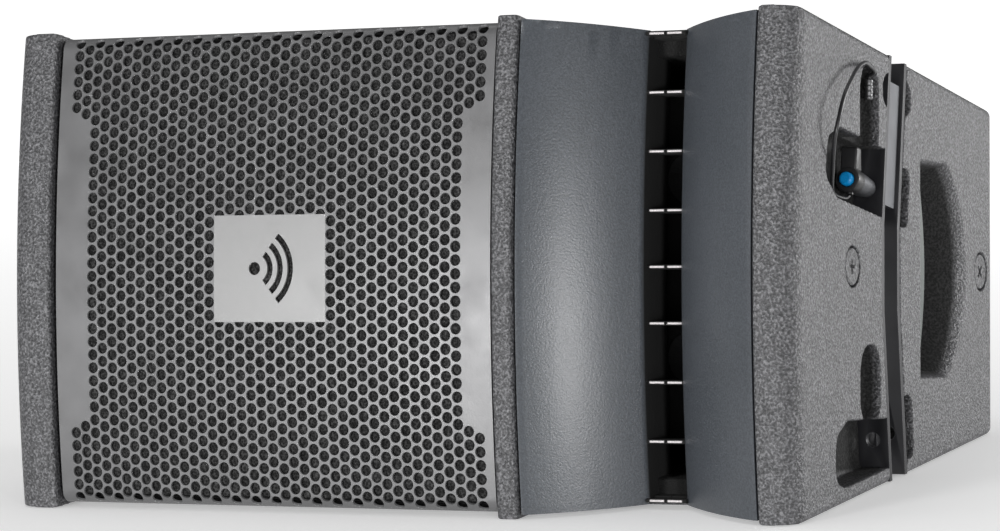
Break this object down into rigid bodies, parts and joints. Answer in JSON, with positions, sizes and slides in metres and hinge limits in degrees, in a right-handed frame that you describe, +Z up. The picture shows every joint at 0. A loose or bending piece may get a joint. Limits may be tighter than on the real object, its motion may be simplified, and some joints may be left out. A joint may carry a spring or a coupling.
{
  "type": "line array speaker",
  "caption": "Compact two-way line array speaker: curved perforated grille beside a slot horn, tapered cabinet, side rigging channels with sliding hinge bars and quick-release pins.",
  "frame": {"origin": "centre of the footprint, on the flat bottom face that the cabinet stands on", "axes": "+Z up; the front faces -Y and is tilted 7.5 degrees upwards because the cabinet stands on its sloping bottom panel; +X to the right seen from the front, the horn's side"},
  "size_m": [0.4298, 0.29, 0.231],
  "materials": {
    "coating": "coarse textured paint on plywood",
    "grille": "satin dark grey powder coat",
    "foam": "open-cell acoustic foam",
    "badge": "satin plate",
    "horn": "satin moulded plastic",
    "black_steel": "black powder coat, worn edges",
    "satin_steel": "satin",
    "bright_steel": "polished",
    "black_plastic": "moulded",
    "blue_plastic": "moulded",
    "rubber": "matt",
    "paper": "pressed paper",
    "spider_cloth": "resin-dipped cloth",
    "ferrite": "ferrite and zinc-plated steel",
    "board": "circuit board",
    "copper": "enamelled winding",
    "grip": "satin moulded insert",
    "wire": "plastic-coated wire rope"
  },
  "bodies": {
    "cabinet": {"side_panel_right": "coating", "side_panel_left": "coating", "top_panel": "coating", "bottom_panel": "coating", "rear_panel_left": "coating", "rear_panel_right": "coating", "divider_post": "coating", "front_baffle": "coating", "plug_front_right": "coating", "plug_front_left": "coating", "plug_rear_right": "coating", "plug_rear_left": "coating", "grille": "grille", "grille_foam": "foam", "grille_badge": "badge", "horn_shell_left": "horn", "horn_shell_right": "horn", "horn_throat_plate": "black_plastic", "driver_upper": "ferrite", "driver_lower": "ferrite", "woofer_basket": "black_steel", "woofer_magnet": "ferrite", "woofer_surround": "rubber", "woofer_spider": "spider_cloth", "crossover_board": "board", "crossover_inductor": "copper", "crossover_capacitor": "black_plastic", "input_plate": "black_steel", "socket_left": "black_plastic", "socket_right": "black_plastic", "rear_channel": "black_steel", "splay_pivot": "bright_steel", "rear_pin_cup": "black_plastic", "rigging_channel_right": "black_steel", "guide_bolt_right": "bright_steel", "guide_nut_right": "bright_steel", "lanyard_ferrule_right": "bright_steel", "lanyard_right": "wire", "handle_grip_right": "grip", "rigging_channel_left": "black_steel", "guide_bolt_left": "bright_steel", "guide_nut_left": "bright_steel", "lanyard_ferrule_left": "bright_steel", "lanyard_left": "wire", "handle_grip_left": "grip"},
    "hinge_bar_right": {"hinge_bar_right": "satin_steel", "hinge_plate_right": "satin_steel"},
    "hinge_bar_left": {"hinge_bar_left": "satin_steel", "hinge_plate_left": "satin_steel"},
    "lock_pin_right": {"lock_pin_right": "satin_steel"},
    "lock_pin_left": {"lock_pin_left": "satin_steel"},
    "lock_button_right": {"lock_button_right": "blue_plastic"},
    "lock_button_left": {"lock_button_left": "blue_plastic"},
    "woofer_cone": {"woofer_cone": "paper", "woofer_dust_cap": "paper", "woofer_voice_coil": "copper"},
    "mode_switch": {"mode_switch": "black_plastic"},
    "splay_arm": {"splay_arm": "satin_steel"},
    "rear_pin": {"rear_pin": "satin_steel"},
    "rear_pin_button": {"rear_pin_button": "blue_plastic"}
  },
  "joints": [
    {"name": "hinge_bar_right_slide", "type": "slide", "parent": "cabinet", "child": "hinge_bar_right", "axis": [0, 0.2588, 0.9659], "range_m": [0, 0.0385]},
    {"name": "lock_pin_right_pull", "type": "slide", "parent": "cabinet", "child": "lock_pin_right", "axis": [0, -0.9659, 0.2588], "range_m": [0, 0.03], "deforming": ["lanyard_right"]},
    {"name": "lock_button_right_press", "type": "slide", "parent": "lock_pin_right", "child": "lock_button_right", "axis": [0, 0.9659, -0.2588], "range_m": [0, 0.0025], "stiffness_N_per_m": 600, "springref_m": -0.001},
    {"name": "hinge_bar_left_slide", "type": "slide", "parent": "cabinet", "child": "hinge_bar_left", "axis": [0, 0.2588, 0.9659], "range_m": [0, 0.0385]},
    {"name": "lock_pin_left_pull", "type": "slide", "parent": "cabinet", "child": "lock_pin_left", "axis": [0, -0.9659, 0.2588], "range_m": [0, 0.03], "deforming": ["lanyard_left"]},
    {"name": "lock_button_left_press", "type": "slide", "parent": "lock_pin_left", "child": "lock_button_left", "axis": [0, 0.9659, -0.2588], "range_m": [0, 0.0025], "stiffness_N_per_m": 600, "springref_m": -0.001},
    {"name": "woofer_travel", "type": "slide", "parent": "cabinet", "child": "woofer_cone", "axis": [0, -0.9914, 0.1305], "range_m": [-0.005, 0.005], "stiffness_N_per_m": 2000, "deforming": ["woofer_surround", "woofer_spider"]},
    {"name": "mode_switch_slide", "type": "slide", "parent": "cabinet", "child": "mode_switch", "axis": [1, 0, 0], "range_m": [0, 0.004]},
    {"name": "splay_arm_swing", "type": "hinge", "parent": "cabinet", "child": "splay_arm", "pos_m": [0, 0.12961, 0.13985], "axis": [1, 0, 0], "range_deg": [0, 160]},
    {"name": "rear_pin_pull", "type": "slide", "parent": "cabinet", "child": "rear_pin", "axis": [1, 0, 0], "range_m": [0, 0.0262]},
    {"name": "rear_pin_button_press", "type": "slide", "parent": "rear_pin", "child": "rear_pin_button", "axis": [-1, 0, 0], "range_m": [0, 0.0025], "stiffness_N_per_m": 600, "springref_m": -0.001}
  ]
}
